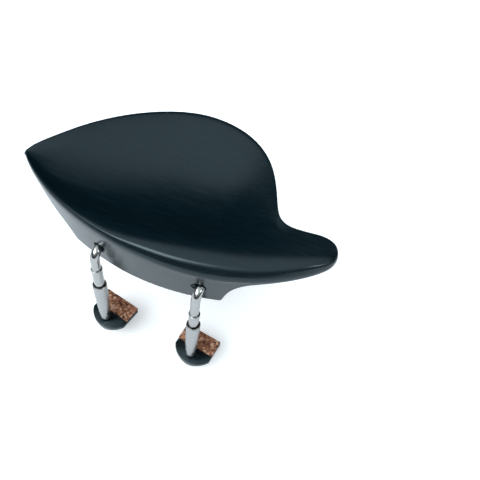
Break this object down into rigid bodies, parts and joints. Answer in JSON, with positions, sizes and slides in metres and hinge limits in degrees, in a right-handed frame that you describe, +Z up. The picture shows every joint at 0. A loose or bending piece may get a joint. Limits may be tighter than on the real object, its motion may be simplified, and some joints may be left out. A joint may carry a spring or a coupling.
{
  "type": "violin chinrest",
  "caption": "Dished black chin plate on a cork-faced riser, with two turnbuckle clamp legs that end in swivelling cork-topped feet.",
  "frame": {"origin": "centre of the underside of the riser's cork strip, where the chinrest sits on the violin's edge", "axes": "+X along the riser towards the rounded lip, +Y inwards over the violin's table, +Z up"},
  "size_m": [0.1156, 0.0711, 0.0659],
  "materials": {
    "black_wood": "satin polished black wood, faint teal sheen",
    "cork": "raw agglomerated cork, light and dark granules",
    "polished_steel": "bright nickel plate",
    "barrel_steel": "nickel plate, softly polished",
    "brass": "turned brass"
  },
  "bodies": {
    "root": {"chin_plate": "black_wood", "riser_cork": "cork", "left_hook": "polished_steel", "left_sleeve": "polished_steel", "right_hook": "polished_steel", "right_sleeve": "polished_steel"},
    "left_stud": {"left_swivel_stud": "brass", "left_stud_washer": "polished_steel", "left_stud_nut": "brass"},
    "left_barrel": {"left_barrel": "barrel_steel"},
    "left_foot": {"left_foot": "black_wood", "left_foot_cork": "cork"},
    "right_stud": {"right_swivel_stud": "brass", "right_stud_washer": "polished_steel", "right_stud_nut": "brass"},
    "right_barrel": {"right_barrel": "barrel_steel"},
    "right_foot": {"right_foot": "black_wood", "right_foot_cork": "cork"}
  },
  "joints": [
    {"name": "left_clamp_travel", "type": "slide", "parent": "root", "child": "left_stud", "axis": [0, 0, 1], "range_m": [-0.005, 0.004]},
    {"name": "left_barrel_turn", "type": "hinge", "parent": "left_stud", "child": "left_barrel", "pos_m": [-0.01865, -0.0095, -0.02], "axis": [0, 0, 1], "range_deg": [-3600, 2880]},
    {"name": "left_foot_swivel", "type": "hinge", "parent": "left_stud", "child": "left_foot", "pos_m": [-0.01865, -0.0095, -0.0366], "axis": [0, 0, 1], "range_deg": [-28, 40]},
    {"name": "right_clamp_travel", "type": "slide", "parent": "root", "child": "right_stud", "axis": [0, 0, 1], "range_m": [-0.005, 0.004]},
    {"name": "right_barrel_turn", "type": "hinge", "parent": "right_stud", "child": "right_barrel", "pos_m": [0.01865, -0.0095, -0.02], "axis": [0, 0, 1], "range_deg": [-3600, 2880]},
    {"name": "right_foot_swivel", "type": "hinge", "parent": "right_stud", "child": "right_foot", "pos_m": [0.01865, -0.0095, -0.038], "axis": [0, 0, 1], "range_deg": [-28, 40]}
  ],
  "couplings": [
    {"joint": "left_barrel_turn", "follows": "left_clamp_travel", "rad_per_m": 12566},
    {"joint": "right_barrel_turn", "follows": "right_clamp_travel", "rad_per_m": 12566}
  ]
}
